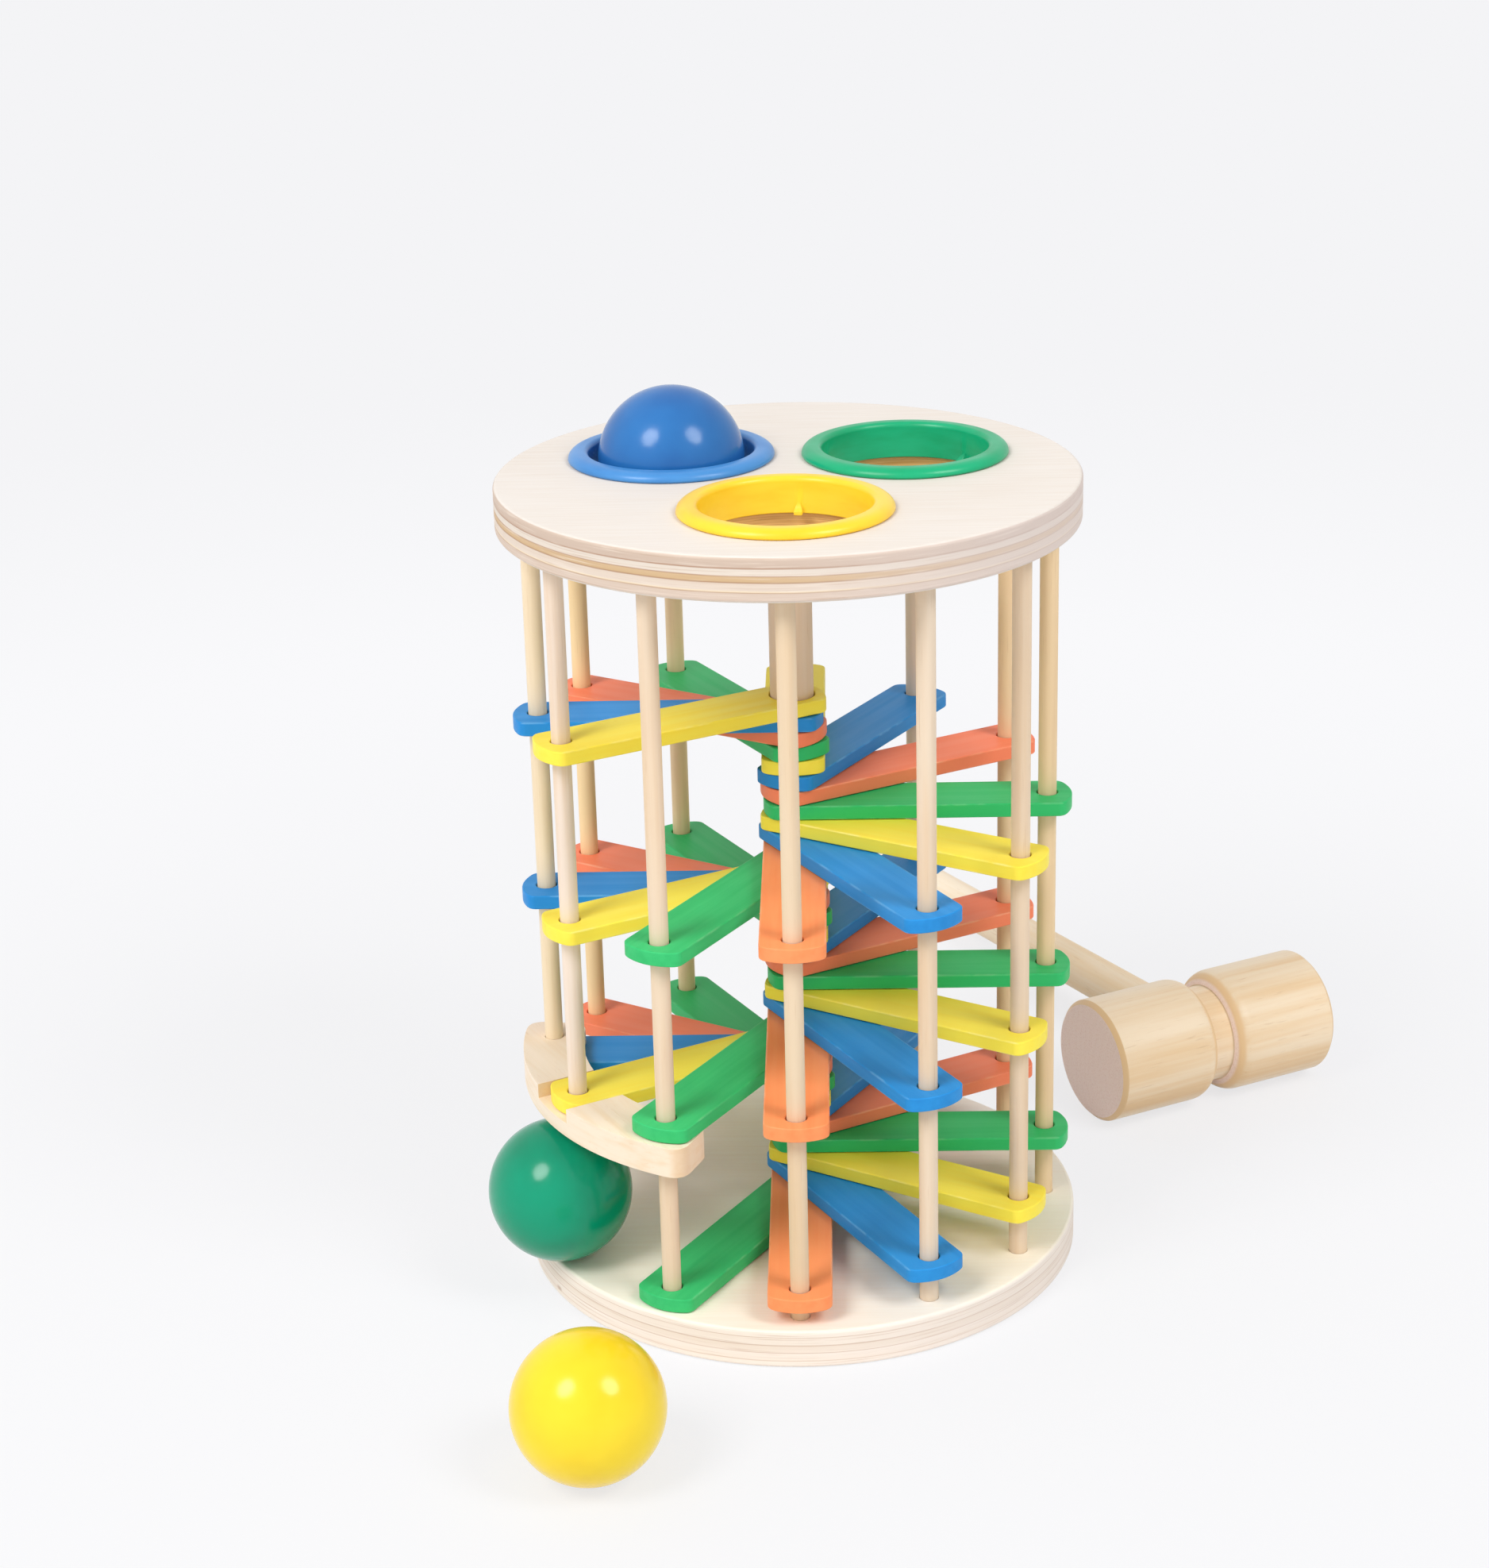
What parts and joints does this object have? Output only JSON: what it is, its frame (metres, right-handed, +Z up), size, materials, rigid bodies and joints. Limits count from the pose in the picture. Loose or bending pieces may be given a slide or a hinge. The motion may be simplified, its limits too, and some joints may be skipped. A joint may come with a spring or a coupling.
{
  "type": "ball pounding toy",
  "caption": "Round wooden tower with a spiral stair of painted steps: a mallet knocks balls through plastic rings on top, and they roll down and out under an arch.",
  "frame": {"origin": "centre of the base plate's underside, on the surface that the tower stands on", "axes": "+Z up along the centre post, -Y to the front where the yellow ring is, +X to the right"},
  "size_m": [0.2973, 0.4924, 0.289],
  "materials": {
    "plywood": "pale sanded birch plywood, ply lines on the edge",
    "rod_wood": "pale sanded wood",
    "beech": "smooth turned beech",
    "step_green": "satin green paint on wood",
    "step_orange": "satin orange paint on wood",
    "step_blue": "satin blue paint on wood",
    "step_yellow": "satin yellow paint on wood",
    "ball_blue": "gloss blue lacquer on wood",
    "ball_green": "gloss green lacquer on wood",
    "ball_yellow": "gloss yellow lacquer on wood",
    "ring_blue": "gloss blue plastic",
    "ring_green": "gloss green plastic",
    "ring_yellow": "gloss yellow plastic"
  },
  "bodies": {
    "tower": {"base_plate": "plywood", "top_plate": "plywood", "centre_post": "rod_wood", "dowel_00": "rod_wood", "dowel_01": "rod_wood", "dowel_02": "rod_wood", "dowel_03": "rod_wood", "dowel_04": "rod_wood", "dowel_05": "rod_wood", "dowel_06": "rod_wood", "dowel_07": "rod_wood", "dowel_08": "rod_wood", "dowel_09": "rod_wood", "dowel_10": "rod_wood", "dowel_11": "rod_wood", "step_00": "step_green", "step_01": "step_orange", "step_02": "step_blue", "step_03": "step_yellow", "step_04": "step_green", "step_05": "step_orange", "step_06": "step_blue", "step_07": "step_yellow", "step_08": "step_green", "step_09": "step_orange", "step_10": "step_blue", "step_11": "step_yellow", "step_12": "step_green", "step_13": "step_orange", "step_14": "step_blue", "step_15": "step_yellow", "step_16": "step_green", "step_17": "step_orange", "step_18": "step_blue", "step_19": "step_yellow", "step_20": "step_green", "step_21": "step_orange", "step_22": "step_blue", "step_23": "step_yellow", "step_24": "step_green", "step_25": "step_orange", "step_26": "step_blue", "step_27": "step_yellow", "step_28": "step_green", "step_29": "step_orange", "step_30": "step_blue", "step_31": "step_yellow", "step_32": "step_green", "step_33": "step_orange", "step_34": "step_blue", "step_35": "step_yellow", "exit_arch": "rod_wood", "blue_ring": "ring_blue", "yellow_ring": "ring_yellow", "green_ring": "ring_green"},
    "blue_ball": {"blue_ball": "ball_blue"},
    "green_ball": {"green_ball": "ball_green"},
    "yellow_ball": {"yellow_ball": "ball_yellow"},
    "mallet": {"mallet_head": "beech", "mallet_handle": "beech"}
  },
  "joints": [
    {"name": "blue_ball_drop", "type": "slide", "parent": "tower", "child": "blue_ball", "axis": [0, 0, 1], "range_m": [-0.056, 0.06]},
    {"name": "green_ball_roll", "type": "slide", "parent": "tower", "child": "green_ball", "axis": [-0.891, -0.454, 0], "range_m": [-0.041, 0.003]},
    {"name": "yellow_ball_roll", "type": "slide", "parent": "tower", "child": "yellow_ball", "axis": [-0.3798, -0.9251, 0], "range_m": [-0.03, 0.1]},
    {"name": "mallet_swing", "type": "hinge", "parent": "tower", "child": "mallet", "pos_m": [0.03394, 0.30987, 0.008], "axis": [-0.8829, -0.4695, 0], "range_deg": [0, 80]}
  ]
}
